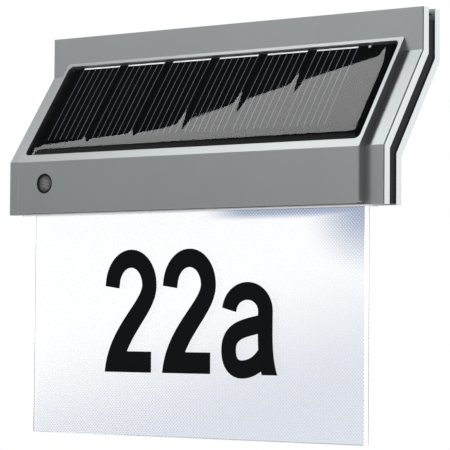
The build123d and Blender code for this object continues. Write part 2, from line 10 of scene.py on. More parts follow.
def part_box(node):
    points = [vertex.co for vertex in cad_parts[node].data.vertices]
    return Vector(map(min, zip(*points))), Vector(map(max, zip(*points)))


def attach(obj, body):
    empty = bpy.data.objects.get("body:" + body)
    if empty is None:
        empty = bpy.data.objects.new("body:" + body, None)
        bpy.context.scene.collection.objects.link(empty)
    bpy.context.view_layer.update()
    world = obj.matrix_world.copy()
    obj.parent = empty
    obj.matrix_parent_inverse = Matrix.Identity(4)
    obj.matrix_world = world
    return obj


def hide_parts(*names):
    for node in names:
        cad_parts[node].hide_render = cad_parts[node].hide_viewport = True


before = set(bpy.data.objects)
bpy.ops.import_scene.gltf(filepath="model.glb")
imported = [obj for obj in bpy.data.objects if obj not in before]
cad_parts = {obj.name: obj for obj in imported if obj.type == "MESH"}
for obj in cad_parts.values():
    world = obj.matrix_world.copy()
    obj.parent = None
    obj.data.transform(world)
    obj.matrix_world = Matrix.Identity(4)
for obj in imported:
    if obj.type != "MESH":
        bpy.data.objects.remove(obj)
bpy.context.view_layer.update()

# Rear cover: the folded back shell of the housing, a plastic moulding with satin silver lacquer.
# It hangs on two wall screws by its keyholes, and four sunk screws close it on the front cover.
silver_colour = (0.475, 0.50, 0.50, 1.0)
silver_metallic = 0.92
silver_cloud_scale = 38.0
silver_flake_scale = 5200.0
silver_flake_bump = (0.05, 0.00003)
silver_roughness = (0.27, 0.36)


def workings(material):
    """The nodes, links and Principled shader of a material."""
    tree = material.node_tree
    return tree.nodes, tree.links, tree.nodes["Principled BSDF"]


def new_finish(name):
    """A new material, and its nodes, links and Principled shader."""
    material = bpy.data.materials.new(name)
    material.use_nodes = True
    return material, *workings(material)


def own_place(nodes):
    """A socket with each point's place in the piece's own object."""
    return nodes.new("ShaderNodeTexCoord").outputs["Object"]


def speckle(nodes, links, scale, detail=3.0):
    """Noise on the piece's own place, as a socket that runs from 0 to 1."""
    noise = nodes.new("ShaderNodeTexNoise")
    noise.inputs["Scale"].default_value = scale
    noise.inputs["Detail"].default_value = detail
    links.new(own_place(nodes), noise.inputs["Vector"])
    return noise.outputs["Fac"]


def spread(nodes, links, source, low, high, start=0.0, end=1.0):
    """A socket that goes evenly from low to high as the source goes from start to end."""
    span = nodes.new("ShaderNodeMapRange")
    span.inputs["From Min"].default_value = start
    span.inputs["From Max"].default_value = end
    span.inputs["To Min"].default_value = low
    span.inputs["To Max"].default_value = high
    links.new(source, span.inputs["Value"])
    return span.outputs["Result"]


def feed(links, value, socket):
    """Leads another socket into a socket, or sets a plain value on it."""
    if isinstance(value, bpy.types.NodeSocket):
        links.new(value, socket)
    else:
        socket.default_value = value


def tint(nodes, links, source, first, second):
    """A colour socket that goes from the first colour to the second as the source goes from 0 to 1."""
    mix = nodes.new("ShaderNodeMix")
    mix.data_type = "RGBA"
    feed(links, first, mix.inputs["A"])
    feed(links, second, mix.inputs["B"])
    links.new(source, mix.inputs["Factor"])
    return mix.outputs["Result"]


def shades(colour, darker, lighter):
    """Two shades of a colour, each the colour times a factor."""
    return [(*(channel * factor for channel in colour[:3]), 1.0) for factor in (darker, lighter)]


def bump(nodes, links, shader, source, strength, depth):
    """Raises the shader's normal by the source, to a depth in metres."""
    raised = nodes.new("ShaderNodeBump")
    raised.inputs["Strength"].default_value = strength
    raised.inputs["Distance"].default_value = depth
    links.new(source, raised.inputs["Height"])
    links.new(raised.outputs["Normal"], shader.inputs["Normal"])


def dress(material, *names):
    """Gives a finish to the frame's own nodes."""
    for name in names:
        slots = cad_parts[name].data.materials
        slots.clear()
        slots.append(material)


silver, nodes, links, shader = new_finish("satin_silver")
shader.inputs["Metallic"].default_value = silver_metallic
flake = speckle(nodes, links, silver_flake_scale)
cloud = speckle(nodes, links, silver_cloud_scale)
links.new(tint(nodes, links, cloud, *shades(silver_colour, darker=0.96, lighter=1.04)),
          shader.inputs["Base Color"])
links.new(spread(nodes, links, flake, *silver_roughness), shader.inputs["Roughness"])
bump(nodes, links, shader, flake, *silver_flake_bump)
dress(silver, "rear_cover")

# Spacer frame: the dark layer between the two covers, moulded in satin black plastic.
# It is clamped between them by the same four screws and shows as a line round the ends.
black_colour = (0.009, 0.012, 0.012, 1.0)
black_grain_bump = (0.1, 0.00004)
plain_sheen = 0.5


def grained_finish(name, colours, grain_scale, roughness, sheen=plain_sheen, metallic=0.0, raised=None):
    """A material whose fine grain runs between two colours, between two roughnesses where it has a pair, and
    raises the face where it has a strength and a depth for that."""
    material, nodes, links, shader = new_finish(name)
    grain = speckle(nodes, links, grain_scale)
    links.new(tint(nodes, links, grain, *colours), shader.inputs["Base Color"])
    rough = spread(nodes, links, grain, *roughness) if isinstance(roughness, tuple) else roughness
    feed(links, rough, shader.inputs["Roughness"])
    shader.inputs["Specular IOR Level"].default_value = sheen
    shader.inputs["Metallic"].default_value = metallic
    if raised:
        bump(nodes, links, shader, grain, *raised)
    return material


black = grained_finish("satin_black_plastic", shades(black_colour, darker=0.8, lighter=1.2),
                       grain_scale=2600.0, roughness=(0.38, 0.52), sheen=0.07, raised=black_grain_bump)
dress(black, "spacer_frame")

# Front cover: the folded front shell with the raised hood for the solar panel, all one moulding.
# It has the same satin silver lacquer as the back. On the hood's underside, near its front edge, the
# lacquer is darkened by a painted shade.
painted_shade_colour = (0.03, 0.032, 0.032, 1.0)
painted_shade_front = (-0.0405, -0.0415)
painted_shade_facing = (-0.25, -0.65)


def ramp(nodes, links, source, start, end):
    """A socket that rises smoothly from 0 to 1 as the source goes from start to end."""
    rise = nodes.new("ShaderNodeMapRange")
    rise.interpolation_type = "SMOOTHSTEP"
    rise.inputs["From Min"].default_value = start
    rise.inputs["From Max"].default_value = end
    links.new(source, rise.inputs["Value"])
    return rise.outputs["Result"]


def sum_up(nodes, links, operation, first, second=0.0):
    """A socket with the result of one sum on two sockets, on a socket and a number, or on one socket."""
    step = nodes.new("ShaderNodeMath")
    step.operation = operation
    links.new(first, step.inputs[0])
    feed(links, second, step.inputs[1])
    return step.outputs["Value"]


def split(nodes, links, source):
    """The X, Y and Z of a vector socket, by name."""
    axes = nodes.new("ShaderNodeSeparateXYZ")
    links.new(source, axes.inputs["Vector"])
    return axes.outputs


def facing(nodes, links):
    """The X, Y and Z of the way that a face points, by name."""
    return split(nodes, links, nodes.new("ShaderNodeNewGeometry").outputs["True Normal"])


silver_with_painted_shade = silver.copy()
silver_with_painted_shade.name = "satin_silver_front_painted_shade"
nodes, links, shader = workings(silver_with_painted_shade)
lacquer = shader.inputs["Base Color"].links[0].from_socket
# painted shade: the faces that point down at the hood's front are darkened towards a near black
hood_front = ramp(nodes, links, split(nodes, links, own_place(nodes))["Y"], *painted_shade_front)
faces_down = ramp(nodes, links, facing(nodes, links)["Z"], *painted_shade_facing)
painted_underside_shade = sum_up(nodes, links, "MULTIPLY", hood_front, faces_down)
links.new(tint(nodes, links, painted_underside_shade, lacquer, painted_shade_colour), shader.inputs["Base Color"])
dress(silver_with_painted_shade, "front_cover")

# Solar module: a black laminate board glued into the hood's pocket carries six dark cells in a row.
# Fine silver fingers are printed down each cell, and a bright tinned strip runs along its top edge.
slope_run = 0.0296
slope_drop = 0.0412
slope_angle = atan2(slope_run, slope_drop)
across_slope = np.array([1.0, 0.0, 0.0])
up_slope = np.array([0.0, sin(slope_angle), cos(slope_angle)])
out_of_slope = np.array([0.0, -cos(slope_angle), sin(slope_angle)])
laminate_colour = (0.006, 0.007, 0.007, 1.0)
cell_colour = (0.006, 0.007, 0.010, 1.0)
cell_count = 6
cell_gap = 0.0007
cell_thickness = 0.00025
tin_colours = ((0.86, 0.87, 0.88, 1.0), (0.97, 0.97, 0.97, 1.0))
finger_colour = (0.36, 0.37, 0.38, 1.0)
finger_count = 7
finger_width = 0.00022
finger_margin = 0.0022
finger_lift = 0.00002
dome_distance = 0.0057
dome_radius = 0.0008
dome_height = 0.0002
dome_foot = 0.000325
dome_rows = 7
dome_columns = 25
weld_distance = 0.000001


def box_middle(name):
    """The middle of a node's box, which is also the middle of a flat piece that lies along the slope."""
    low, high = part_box(name)
    return (np.array(low) + np.array(high)) / 2


def on_slope(middle, x, up, out):
    """Points given along X, up the slope and out of it, from a middle, as an array of places."""
    x, up, out = (reach[..., None] for reach in np.broadcast_arrays(x, up, out))
    return middle + x * across_slope + up * up_slope + out * out_of_slope


def grid_faces(rows, columns, start=0):
    """Quads of a grid of points that is stored row by row."""
    corner = np.arange(rows - 1)[:, None] * columns + np.arange(columns - 1)[None, :] + start
    quads = np.stack([corner, corner + 1, corner + columns + 1, corner + columns], axis=-1)
    return quads.reshape(-1, 4)


def make_piece(name, points, faces, material, body, smooth=True):
    """A mesh piece from an array of points and an array of quads, riding on a body of the frame."""
    mesh = bpy.data.meshes.new(name)
    mesh.from_pydata(points.reshape(-1, 3).tolist(), [], faces.tolist())
    mesh.materials.append(material)
    mesh.polygons.foreach_set("use_smooth", np.full(len(mesh.polygons), smooth))
    piece = bpy.data.objects.new(name, mesh)
    bpy.context.scene.collection.objects.link(piece)
    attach(piece, body)
    return piece


def weld(piece):
    """Merges the points that coincide at a piece's seam and poles."""
    form = bmesh.new()
    form.from_mesh(piece.data)
    bmesh.ops.remove_doubles(form, verts=form.verts, dist=weld_distance)
    form.to_mesh(piece.data)
    form.free()


def thicken(piece, thickness):
    """Gives a flat sheet its thickness, inwards from the face that shows."""
    wall = piece.modifiers.new("thickness", "SOLIDIFY")
    wall.thickness = thickness
    wall.offset = -1.0


laminate = grained_finish("black_laminate", shades(laminate_colour, darker=0.7, lighter=1.3),
                          grain_scale=900.0, roughness=0.5, sheen=0.0)
silicon = grained_finish("dark_silicon", shades(cell_colour, darker=0.8, lighter=1.5),
                         grain_scale=260.0, roughness=0.35, sheen=0.0)
tinned = grained_finish("tinned_strip", tin_colours, grain_scale=1500.0, roughness=(0.34, 0.46),
                        metallic=1.0)
printed = grained_finish("printed_fingers", shades(finger_colour, darker=0.8, lighter=1.2),
                         grain_scale=2000.0, roughness=0.5)
dress(laminate, "solar_board")
dress(silicon, "solar_cells")
dress(tinned, "cell_busbars")

cells_middle = box_middle("solar_cells")
cells_low, cells_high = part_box("solar_cells")
cell_row_length = cells_high[0] - cells_low[0]
cell_pitch = (cell_row_length + cell_gap) / cell_count
cell_width = cell_pitch - cell_gap
cell_height = (cells_high[2] - cells_low[2] - cell_thickness * sin(slope_angle)) / cos(slope_angle)
cell_x = (np.arange(cell_count) - (cell_count - 1) / 2) * cell_pitch
finger_x = np.linspace(-0.5, 0.5, finger_count) * (cell_width - 2 * finger_margin)
line_x = (cell_x[:, None] + finger_x[None, :]).reshape(-1)
# each finger is a flat strip: two points across its width at the foot of the cell and two at its head
strip_x = line_x[:, None, None] + np.array([[-0.5, 0.5]]) * finger_width
strip_up = np.array([[-0.5], [0.5]]) * (cell_height - finger_margin)
strips = on_slope(cells_middle, strip_x, strip_up, cell_thickness / 2 + finger_lift)
strip_faces = np.arange(len(line_x))[:, None] * 4 + np.array([0, 1, 3, 2])
fingers = make_piece("cell_fingers", strips, strip_faces, printed, "housing", smooth=False)
thicken(fingers, finger_lift)

# past the right end of the row stands the solder dome of the lead, a cosine in section on a round foot;
# its last rows run down to the board and back to the middle, which closes it below
_, strips_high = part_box("cell_busbars")
strips_middle = box_middle("cell_busbars")
dome_turn = np.linspace(0.0, 2 * pi, dome_columns)[None, :]
dome_way = np.linspace(0.0, 1.0, dome_rows)
dome_out = np.append(dome_way, [1.0, 0.0])[:, None]
dome_lift = np.append(dome_height * np.cos(dome_way * pi / 2), [-dome_foot, -dome_foot])[:, None]
dome_x = strips_high[0] - strips_middle[0] + dome_distance - dome_radius * dome_out * np.cos(dome_turn)
dome_up = dome_radius * dome_out * np.sin(dome_turn)
dome_points = on_slope(strips_middle, dome_x, dome_up, dome_lift)
dome = make_piece("lead_joint", dome_points, grid_faces(len(dome_out), dome_columns), tinned, "housing")
weld(dome)

# Solar resin: clear casting resin poured over the cells and cured to a low crown with a rolled edge.
# It sinks a little over the gaps between the cells, which breaks up what it reflects.
board_thickness = 0.001
resin_floor = -0.0001
resin_head_height = 0.0012
resin_head_slope = 0.054
resin_foot_slope = 0.031
resin_corner_radius = 0.0021
# each fall towards an edge has a drop, a width and a power
resin_foot_lean = (0.00047, 0.0105, 2.0)
resin_foot_roll = (0.00110, 0.0038, 1.15)
resin_side_roll = (0.00115, 0.0030, 1.2)
resin_head_roll = (0.00010, 0.0008, 1.2)
resin_end_fall = (0.0003, 0.007, 2.0)
resin_least_height = 0.00005
resin_sink = 0.000022
resin_sink_width = 0.0016
resin_columns = 361
resin_rows = 81
resin_colour = (0.93, 0.95, 0.95, 1.0)
least_length = 1e-12


def round_corners(x, up, half_x, half_up, radius):
    """Moves a rectangle's grid into round corners: in each corner square the larger offset is the radius."""
    core_x = np.clip(x, -(half_x - radius), half_x - radius)
    core_up = np.clip(up, -(half_up - radius), half_up - radius)
    off_x = x - core_x
    off_up = up - core_up
    largest = np.maximum(np.abs(off_x), np.abs(off_up))
    scale = largest / np.maximum(np.hypot(off_x, off_up), least_length)
    return core_x + off_x * scale, core_up + off_up * scale


def edge_spacing(count):
    """Numbers from -1 to 1 that lie closer together near both ends, as a cosine does."""
    return -np.cos(np.linspace(0.0, pi, count))


def rolled(distance, drop, width, power):
    """How far the face has fallen at a distance from an edge: the drop times a power of the way out."""
    return drop * np.clip(1.0 - distance / width, 0.0, 1.0) ** power


def clear_finish(name, colour, ior, wave_scale, wave_detail, roughness):
    """A clear material whose gloss varies in waves over its face."""
    material, nodes, links, shader = new_finish(name)
    shader.inputs["Base Color"].default_value = colour
    shader.inputs["Transmission Weight"].default_value = 1.0
    shader.inputs["IOR"].default_value = ior
    wave = speckle(nodes, links, wave_scale, wave_detail)
    links.new(spread(nodes, links, wave, *roughness), shader.inputs["Roughness"])
    return material


board_low, board_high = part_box("solar_board")
board_middle = box_middle("solar_board")
module_half_x = (board_high[0] - board_low[0]) / 2
board_rise = board_high[2] - board_low[2] - board_thickness * sin(slope_angle)
module_half_up = board_rise / cos(slope_angle) / 2
grid_x = np.linspace(-1.0, 1.0, resin_columns)[None, :] * module_half_x
grid_up = edge_spacing(resin_rows)[:, None] * module_half_up
grid_x, grid_up = np.broadcast_arrays(grid_x, grid_up)
plan_x, plan_up = round_corners(grid_x, grid_up, module_half_x, module_half_up, resin_corner_radius)

# the falls to the edges add up as the sides of a right angle do, so that corners are round; the lean at the
# foot and the fall towards both ends are added to them
side_distance = module_half_x - np.abs(plan_x)
foot_distance = module_half_up + plan_up
edge_fall = np.hypot(rolled(foot_distance, *resin_foot_roll), rolled(side_distance, *resin_side_roll))
edge_fall = np.hypot(edge_fall, rolled(module_half_up - plan_up, *resin_head_roll))
edge_fall = edge_fall + rolled(foot_distance, *resin_foot_lean) + rolled(side_distance, *resin_end_fall)
# the crown is a parabola: it rises from the head at one slope, which turns evenly into the fall at the foot
way_down = (1.0 - plan_up / module_half_up) / 2
slope_change = (resin_head_slope + resin_foot_slope) / 2 * way_down
crown = 2 * module_half_up * way_down * (resin_head_slope - slope_change)
# the sinks are bells over the gaps
gap_x = cell_x[:-1] + cell_pitch / 2 + cells_middle[0]
bell = np.exp(-((plan_x[..., None] - gap_x) / resin_sink_width) ** 2).sum(axis=-1)
top_out = np.maximum(resin_head_height + crown - resin_sink * bell - edge_fall, resin_least_height)
face_out = board_thickness / 2
resin_top = on_slope(board_middle, plan_x, plan_up, face_out + top_out)
resin_bottom = on_slope(board_middle, plan_x, plan_up, face_out + resin_floor)
resin_points = np.concatenate([resin_top.reshape(-1, 3), resin_bottom.reshape(-1, 3)])
sheet_size = resin_rows * resin_columns
index = np.arange(sheet_size).reshape(resin_rows, resin_columns)
rim = np.concatenate([index[0, :-1], index[:-1, -1], index[-1, :0:-1], index[:0:-1, 0]])
rim_next = np.roll(rim, -1)
rim_faces = np.stack([rim, rim + sheet_size, rim_next + sheet_size, rim_next], axis=-1)
resin_faces = np.concatenate([
    grid_faces(resin_rows, resin_columns),
    grid_faces(resin_rows, resin_columns, sheet_size)[:, ::-1],
    rim_faces,
])
resin = clear_finish("clear_resin", resin_colour, ior=1.5, wave_scale=45.0, wave_detail=0.0,
                     roughness=(0.01, 0.03))
resin_piece = make_piece("cast_resin", resin_points, resin_faces, resin, "housing")
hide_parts("solar_resin")

# Dusk sensor: a black ring pressed into the hood's front holds a small clear window.
# Behind it sits the photoresistor, a ceramic disc with a printed serpentine track.
ceramic_colour = (0.085, 0.075, 0.072, 1.0)
window_colour = (0.9, 0.93, 0.93, 1.0)
acrylic_ior = 1.49
track_colour = (0.30, 0.26, 0.25, 1.0)
track_turns = 3
track_width = 0.0007
track_lift = 0.00003
track_reach = 0.0021
track_sway = 0.8
track_points = 241


def flat_ribbon(path, half_width):
    """A flat strip in the X-Z plane: each point of the path moved both ways along the path's normal."""
    along = np.gradient(path, axis=0)
    along /= np.linalg.norm(along, axis=1, keepdims=True)
    normal = np.stack([-along[:, 1], along[:, 0]], axis=-1)
    return np.stack([path + normal * half_width, path - normal * half_width], axis=1)


def facing_front(plan, y):
    """Puts X-Z points on a plane at depth y."""
    return np.stack([plan[..., 0], np.full(plan.shape[:-1], y), plan[..., 1]], axis=-1)


ceramic = grained_finish("sensor_ceramic", shades(ceramic_colour, darker=0.8, lighter=1.2),
                         grain_scale=1800.0, roughness=0.6)
window = clear_finish("clear_window", window_colour, acrylic_ior, wave_scale=500.0, wave_detail=3.0,
                      roughness=(0.02, 0.06))
track_ink = grained_finish("sensor_track", shades(track_colour, darker=0.9, lighter=1.1),
                           grain_scale=2400.0, roughness=0.45)
dress(black, "sensor_bezel")
dress(ceramic, "light_sensor")
dress(window, "sensor_window")

sensor_low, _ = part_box("light_sensor")
sensor_middle = box_middle("light_sensor")
climb = np.linspace(0.0, 1.0, track_points)
# the track swings from side to side as a sine while it climbs the disc
track_path = np.stack([
    sensor_middle[0] + track_reach * track_sway * np.sin(2 * pi * track_turns * climb),
    sensor_middle[2] + track_reach * (2 * climb - 1),
], axis=-1)
track_sheet = facing_front(flat_ribbon(track_path, track_width / 2), sensor_low[1] - track_lift)
track = make_piece("sensor_track", track_sheet, grid_faces(track_points, 2), track_ink, "housing",
                   smooth=False)
thicken(track, track_lift)

# Plate holder and light strip: a pale plastic channel grips the plate's top edge under the housing.
# Its web carries a narrow board with a row of warm white lamps that shine into the plate.
pale_colour = (0.78, 0.80, 0.81, 1.0)
pale_glow_colour = (0.92, 0.96, 1.0, 1.0)
pale_glow = 0.2
bezel_blend = 0.0001
board_colour = (0.02, 0.12, 0.05, 1.0)
lamp_colour = (0.92, 0.86, 0.52, 1.0)

pale = grained_finish("pale_plastic", shades(pale_colour, darker=0.97, lighter=1.03),
                      grain_scale=2200.0, roughness=(0.35, 0.45))
nodes, links, shader = workings(pale)
# light from the lamps leaks through the bezel, which lies below the housing's underside
cover_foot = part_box("front_cover")[0][2]
holder_height = split(nodes, links, own_place(nodes))["Z"]
leak = spread(nodes, links, holder_height, pale_glow, 0.0, start=cover_foot - bezel_blend, end=cover_foot)
shader.inputs["Emission Color"].default_value = pale_glow_colour
links.new(leak, shader.inputs["Emission Strength"])
resist = grained_finish("circuit_resist", shades(board_colour, darker=0.8, lighter=1.5),
                        grain_scale=420.0, roughness=0.32)
lamp = grained_finish("lamp_body", shades(lamp_colour, darker=0.9, lighter=1.05),
                      grain_scale=1600.0, roughness=0.3)
dress(pale, "plate_holder")
dress(resist, "led_board", "control_board")
dress(lamp, "leds")

# Number plate: a clear acrylic slab, screwed into the holder, with its edges broken.
# A fine lattice of dots is etched into its front and scatters the light that enters by its top edge.
dot_pitch = 0.00108
dot_turn = radians(45.0)
dot_peak = (0.2, 1.4)
corner_dot_contrast = 0.30
foot_dot_contrast = 0.75
dot_tint = (0.03, 0.12, 0.32, 1.0)
plate_tint = (0.97, 0.975, 0.985, 1.0)
plate_transmission = 0.95
plate_roughness = (0.04, 0.30)
unlit_tint = (0.40, 0.47, 0.61, 1.0)
dark_corner = (0.0887, -0.0375, -0.069)
dark_corner_reach = 0.034
fade_direction = (0.25, 0.0, -1.0)
fade_range = (0.100, 0.165)
fade_share = 0.30
shaded_top_drop = (0.0048, 0.0012)
shaded_top_start = (0.004, 0.030)
shaded_top_share = 0.95
lit_glow = 0.05
edge_glow = 0.85
glow_colour = (1.0, 1.0, 1.0, 1.0)
end_facing = (0.4, 0.6)
cut_facing = (0.85, 0.95)
rear_edge_width = 0.0007
rear_edge_blend = rear_edge_width / 10
rear_edge_shade_tint = (0.32, 0.34, 0.38, 1.0)


def measure(nodes, links, operation, source, vector):
    """A socket with a place's distance from a point, or with how far it lies along a direction."""
    step = nodes.new("ShaderNodeVectorMath")
    step.operation = operation
    step.inputs[1].default_value = vector
    links.new(source, step.inputs[0])
    return step.outputs["Value"]


acrylic, nodes, links, shader = new_finish("etched_acrylic")
shader.inputs["Transmission Weight"].default_value = plate_transmission
shader.inputs["IOR"].default_value = acrylic_ior
plate_low, plate_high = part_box("number_plate")
plate_place = own_place(nodes)
plate_spot = split(nodes, links, plate_place)
# the dots are the peaks of two crossed cosines
lattice = nodes.new("ShaderNodeMapping")
lattice.inputs["Rotation"].default_value = (0.0, dot_turn, 0.0)
lattice.inputs["Scale"].default_value = (2 * pi / dot_pitch,) * 3
links.new(plate_place, lattice.inputs["Vector"])
lattice_way = split(nodes, links, lattice.outputs["Vector"])
waves = [sum_up(nodes, links, "COSINE", lattice_way[axis]) for axis in ("X", "Z")]
dots = ramp(nodes, links, sum_up(nodes, links, "ADD", *waves), *dot_peak)
# the lamps' light is weaker in the upper right corner, past the last lamp, and falls off down the plate
from_corner = measure(nodes, links, "DISTANCE", plate_place, dark_corner)
corner = ramp(nodes, links, from_corner, dark_corner_reach, 0.0)
fade = ramp(nodes, links, measure(nodes, links, "DOT_PRODUCT", plate_place, fade_direction), *fade_range)
unlit = sum_up(nodes, links, "MAXIMUM", corner, sum_up(nodes, links, "MULTIPLY", fade, fade_share))
# the hood shades a narrow band under the holder on that side
holder_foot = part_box("plate_holder")[0][2]
under_holder = ramp(nodes, links, plate_spot["Z"], *(holder_foot - drop for drop in shaded_top_drop))
at_right = ramp(nodes, links, plate_spot["X"], *shaded_top_start)
shaded = sum_up(nodes, links, "MULTIPLY", under_holder, at_right)
unlit = sum_up(nodes, links, "MAXIMUM", unlit, sum_up(nodes, links, "MULTIPLY", shaded, shaded_top_share))
plate_shade = tint(nodes, links, unlit, plate_tint, unlit_tint)
# the dots are in the front face alone, and a dot darkens it only where the light is weak
contrast = sum_up(nodes, links, "MAXIMUM", sum_up(nodes, links, "MULTIPLY", unlit, corner_dot_contrast),
                  sum_up(nodes, links, "MULTIPLY", fade, foot_dot_contrast))
plate_middle_y = (plate_low[1] + plate_high[1]) / 2
in_front = ramp(nodes, links, plate_spot["Y"], plate_middle_y, plate_low[1])
contrast = sum_up(nodes, links, "MULTIPLY", contrast, in_front)
dotted = tint(nodes, links, sum_up(nodes, links, "MULTIPLY", dots, contrast), plate_shade, dot_tint)
# the cut ends let the guided light out, except along their rear edges, which look dark: there a painted
# shade darkens them and stops their glow
sideways = sum_up(nodes, links, "ABSOLUTE", facing(nodes, links)["X"])
rear_start = plate_high[1] - rear_edge_width
at_rear = ramp(nodes, links, plate_spot["Y"], rear_start - rear_edge_blend, rear_start)
rear_edge_shade = sum_up(nodes, links, "MULTIPLY", at_rear, ramp(nodes, links, sideways, *end_facing))
cut_end = ramp(nodes, links, sideways, *cut_facing)
links.new(tint(nodes, links, rear_edge_shade, dotted, rear_edge_shade_tint), shader.inputs["Base Color"])
links.new(spread(nodes, links, dots, *plate_roughness), shader.inputs["Roughness"])
lit = spread(nodes, links, unlit, lit_glow, 0.0)
lit = sum_up(nodes, links, "MAXIMUM", lit, sum_up(nodes, links, "MULTIPLY", cut_end, edge_glow))
lit = sum_up(nodes, links, "MULTIPLY", lit, spread(nodes, links, rear_edge_shade, 1.0, 0.0))
shader.inputs["Emission Color"].default_value = glow_colour
links.new(lit, shader.inputs["Emission Strength"])
dress(acrylic, "number_plate")

# House number: black film figures cut out and stuck on the plate's front, two twos and a small a.
# Each figure is drawn by strokes of even width or an even taper, in a plain bold narrow style.
film_colour = (0.004, 0.0045, 0.006, 1.0)
film_lift = 0.00008
film_step = 0.00001
plate_hidden_height = 0.0136
figure_drop = 0.0695
figure_baseline = plate_high[2] - plate_hidden_height - figure_drop
two_left_edges = (-0.0459, -0.0141)
small_a_left_edge = 0.0175
baseline_cut = 0.0
stroke_points = 97
run_points = 5
millimetres_per_metre = 1000

film = grained_finish("black_film", shades(film_colour, darker=0.85, lighter=1.15),
                      grain_scale=700.0, roughness=(0.52, 0.62), sheen=0.06)


def bow(start, first, second, end):
    """Cubic curve between two ends, drawn towards two handles, in millimetres from the left foot."""
    t = np.linspace(0.0, 1.0, stroke_points)[:, None]
    handles = np.array([start, first, second, end], dtype=float)
    weights = np.hstack([(1 - t) ** 3, 3 * t * (1 - t) ** 2, 3 * t ** 2 * (1 - t), t ** 3])
    return weights @ handles


def arch(middle, reach, from_degrees, to_degrees):
    """Part of an ellipse about a middle, in millimetres from the left foot."""
    angle = np.radians(np.linspace(from_degrees, to_degrees, stroke_points))
    return np.stack([middle[0] + reach[0] * np.cos(angle), middle[1] + reach[1] * np.sin(angle)], axis=-1)


def run_in(path, length):
    """A straight run of a given length, in millimetres, that leads into the start of a path."""
    into = (path[1] - path[0]) / np.linalg.norm(path[1] - path[0])
    return np.linspace(path[0] - into * length, path[0], run_points)[:-1]


def figure(name, left_edge, strokes):
    """A film figure from strokes stacked a hair apart, each a path, a half width and the height, all in
    millimetres, at which the stroke is cut off level below."""
    points = []
    faces = []
    start = 0
    for layer, (path, half_width, foot) in enumerate(strokes):
        plan = flat_ribbon(path, half_width)
        # one row past the last that stands above the cut is kept, to close the stroke there
        above = np.nonzero((plan[..., 1] > foot).any(axis=1))[0]
        plan = plan[:above[-1] + 2]
        plan[..., 1] = np.maximum(plan[..., 1], foot)
        plan = plan / millimetres_per_metre + np.array([left_edge, figure_baseline])
        points.append(facing_front(plan, plate_low[1] - film_lift - layer * film_step).reshape(-1, 3))
        faces.append(grid_faces(len(plan), 2, start))
        start += 2 * len(plan)
    piece = make_piece(name, np.concatenate(points), np.concatenate(faces), film, "housing",
                       smooth=False)
    thicken(piece, film_lift)


# a two is a hook that runs into a slant, which widens evenly to its foot, and a bar along the baseline
two_half_widths = (3.95, 4.9)
two_bar_half_width = 4.53
two_hook = arch(middle=(14.35, 37.6), reach=(10.15, 11.6), from_degrees=172.0, to_degrees=0.0)
two_slant = bow((24.5, 37.6), (24.5, 27.5), (5.9, 17.5), (4.9, -1.0))
two_bar_x = np.linspace(5.0, 25.8, stroke_points)
two_bar = np.stack([two_bar_x, np.full(stroke_points, two_bar_half_width)], axis=-1)
two_spine = np.concatenate([run_in(two_hook, length=2.4), two_hook[:-1], two_slant])
slant_rows = [len(two_spine) - stroke_points, len(two_spine)]
two_widths = np.interp(np.arange(len(two_spine)), slant_rows, two_half_widths)
for number, left_edge in enumerate(two_left_edges, 1):
    figure(f"figure_two_{number}", left_edge,
           [(two_spine, two_widths[:, None], baseline_cut), (two_bar, two_bar_half_width, baseline_cut)])

# the small a is a hook that runs into a stem, and a bowl that starts and ends in the stem
stem_half_width = 3.75
bowl_half_width = 3.8
bowl_cut = -2.0
a_hook = arch(middle=(13.3, 26.6), reach=(9.3, 8.4), from_degrees=168.0, to_degrees=0.0)
a_stem = bow((22.6, 26.6), (22.6, 16.0), (22.0, 7.0), (25.6, -2.0))
a_spine = np.concatenate([run_in(a_hook, length=1.3), a_hook[:-1], a_stem])
bowl_top = bow((22.0, 21.6), (12.5, 19.5), (3.8, 19.0), (3.8, 10.4))
bowl_low = bow((3.8, 10.4), (3.8, 5.0), (6.4, 2.2), (10.6, 2.2))
bowl_end = bow((10.6, 2.2), (15.5, 2.2), (20.5, 5.0), (23.2, 10.0))
a_bowl = np.concatenate([bowl_top[:-1], bowl_low[:-1], bowl_end])
figure("figure_small_a", small_a_left_edge,
       [(a_spine, stem_half_width, baseline_cut), (a_bowl, bowl_half_width, bowl_cut)])

# Circuit, cells and contacts inside: moulded components on the board, two round cells in shrink sleeves
# end to end in the battery compartment, and nickel plated contacts at their ends.
# The screws and the switch's body are plated in the same way.
component_colour = (0.018, 0.018, 0.02, 1.0)
sleeve_colour = (0.05, 0.22, 0.13, 1.0)
plated_colour = (0.60, 0.60, 0.61, 1.0)

component = grained_finish("component_body", shades(component_colour, darker=0.8, lighter=1.2),
                           grain_scale=1900.0, roughness=0.5)
sleeve = grained_finish("battery_sleeve", shades(sleeve_colour, darker=0.9, lighter=1.1),
                        grain_scale=300.0, roughness=0.28)
plated = grained_finish("nickel_plate", shades(plated_colour, darker=0.92, lighter=1.06),
                        grain_scale=2800.0, roughness=(0.22, 0.36), metallic=1.0)
dress(component, "board_components")
dress(sleeve, "battery_cell_1", "battery_cell_2")
dress(plated, "contact_plate", "contact_leaf", "plate_screws", "case_screws", "door_screws", "switch_body")

# Battery door and switch: the door is a silver lid, screwed over the compartment on the back.
# The switch's black slider stands out of a slot in the sloping back.
dress(silver, "battery_door")
dress(black, "switch_slider")

# Floor: a plain pale studio sheet, wide enough to fill the ground around the object.
# It lies well below the light, which hangs in the air as it does on its wall.
floor_height = -0.42
floor_half = 1.2
floor_colour = (0.82, 0.82, 0.82, 1.0)
floor_roughness = 0.8
floor_fade = (0.55, 1.15)

pale_floor, nodes, links, shader = new_finish("pale_floor")
shader.inputs["Base Color"].default_value = floor_colour
shader.inputs["Roughness"].default_value = floor_roughness
